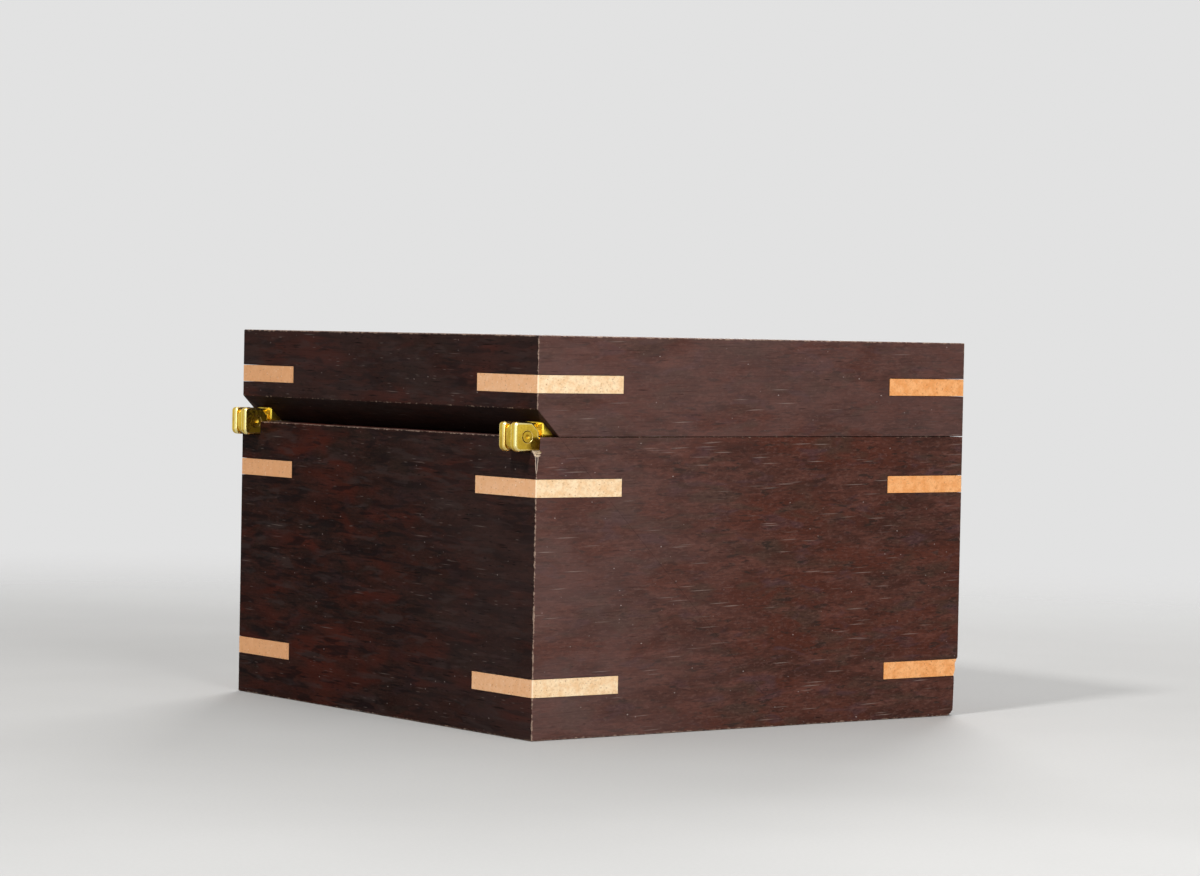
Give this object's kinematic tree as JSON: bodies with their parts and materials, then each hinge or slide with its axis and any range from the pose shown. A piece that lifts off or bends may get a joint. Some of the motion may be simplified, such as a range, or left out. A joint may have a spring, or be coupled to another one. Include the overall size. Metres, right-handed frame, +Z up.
{
  "type": "music box",
  "caption": "Square dark wooden music box with pale corner splines, a hinged lid, a winding key underneath and a comb-and-cylinder movement under glass.",
  "frame": {"origin": "middle of the flat base, under the middle of the box with its hinges", "axes": "+Z up, +Y towards the hinged back, +X to the right as seen from the front"},
  "size_m": [0.12, 0.1242, 0.0855],
  "materials": {
    "dark_wood": "satin oil on dark reddish-brown wood",
    "pale_wood": "satin, pale close-grained wood",
    "panel_wood": "satin oil",
    "brass": "polished",
    "steel": "fine ground",
    "spring_steel": "blued",
    "cast_metal": "plain cast, lightly brushed",
    "glass": "clear",
    "felt": "short woollen pile"
  },
  "bodies": {
    "case": {"case_front_wall": "dark_wood", "case_right_wall": "dark_wood", "case_back_wall": "dark_wood", "case_left_wall": "dark_wood", "case_spline_front_left_lower": "pale_wood", "case_spline_front_left_upper": "pale_wood", "case_spline_front_right_lower": "pale_wood", "case_spline_front_right_upper": "pale_wood", "case_spline_back_right_lower": "pale_wood", "case_spline_back_right_upper": "pale_wood", "case_spline_back_left_lower": "pale_wood", "case_spline_back_left_upper": "pale_wood", "bottom_panel": "panel_wood", "divider": "panel_wood", "cover_ledge": "panel_wood", "glass_cover": "glass", "felt_liner": "felt", "hinge_left_case_leaf": "brass", "hinge_left_pin": "brass", "hinge_left_case_screw_1": "brass", "hinge_left_case_screw_2": "brass", "hinge_right_case_leaf": "brass", "hinge_right_pin": "brass", "hinge_right_case_screw_1": "brass", "hinge_right_case_screw_2": "brass", "bedplate": "cast_metal", "spring_housing": "cast_metal", "mainspring": "spring_steel", "comb": "steel", "comb_screw_1": "steel", "comb_screw_2": "steel", "governor_bracket": "cast_metal", "movement_screw_1": "steel", "movement_screw_2": "steel", "movement_screw_3": "steel"},
    "lid": {"lid_front_wall": "dark_wood", "lid_right_wall": "dark_wood", "lid_back_wall": "dark_wood", "lid_left_wall": "dark_wood", "lid_spline_front_left": "pale_wood", "lid_spline_front_right": "pale_wood", "lid_spline_back_right": "pale_wood", "lid_spline_back_left": "pale_wood", "lid_panel": "panel_wood", "hinge_left_lid_leaf": "brass", "hinge_left_lid_screw_1": "brass", "hinge_left_lid_screw_2": "brass", "hinge_right_lid_leaf": "brass", "hinge_right_lid_screw_1": "brass", "hinge_right_lid_screw_2": "brass"},
    "key": {"winding_key": "brass", "winding_arbor": "steel"},
    "cylinder": {"cylinder": "brass", "cylinder_arbor": "steel", "cylinder_gear": "brass"},
    "main_wheel": {"main_wheel": "brass"},
    "governor_wheel": {"governor_wheel": "brass"},
    "fly": {"fly": "steel"},
    "stop_lever": {"stop_lever": "steel"},
    "stop_plunger": {"stop_plunger": "steel"}
  },
  "joints": [
    {"name": "lid_hinge", "type": "hinge", "parent": "case", "child": "lid", "pos_m": [0, 0.05895, 0.06408], "axis": [-1, 0, 0], "range_deg": [0, 95]},
    {"name": "key_turn", "type": "hinge", "parent": "case", "child": "key", "pos_m": [-0.0135, 0.0239, 0.01], "axis": [0, 0, 1], "continuous": true},
    {"name": "cylinder_spin", "type": "hinge", "parent": "case", "child": "cylinder", "pos_m": [0.0119, 0.0239, 0.03746], "axis": [1, 0, 0], "continuous": true},
    {"name": "main_wheel_spin", "type": "hinge", "parent": "case", "child": "main_wheel", "pos_m": [-0.0135, 0.0239, 0.0325], "axis": [0, 0, 1], "continuous": true},
    {"name": "governor_wheel_spin", "type": "hinge", "parent": "case", "child": "governor_wheel", "pos_m": [0.0266, 0.0284, 0.02967], "axis": [1, 0, 0], "continuous": true},
    {"name": "fly_spin", "type": "hinge", "parent": "case", "child": "fly", "pos_m": [0.0286, 0.0336, 0.0347], "axis": [0, 0, 1], "continuous": true},
    {"name": "stop_lever_tilt", "type": "hinge", "parent": "case", "child": "stop_lever", "pos_m": [0.0321, 0.0402, 0.0436], "axis": [1, 0, 0], "range_deg": [0, 14.1]},
    {"name": "stop_plunger_slide", "type": "slide", "parent": "case", "child": "stop_plunger", "axis": [0, 0, 1], "range_m": [0, 0.00305]}
  ],
  "couplings": [
    {"joint": "main_wheel_spin", "follows": "cylinder_spin", "ratio": 0.33333},
    {"joint": "governor_wheel_spin", "follows": "cylinder_spin", "ratio": -4},
    {"joint": "fly_spin", "follows": "cylinder_spin", "ratio": 64},
    {"joint": "stop_lever_tilt", "follows": "lid_hinge", "ratio": 0.14737},
    {"joint": "stop_plunger_slide", "follows": "lid_hinge", "m_per_rad": 0.0018093}
  ]
}
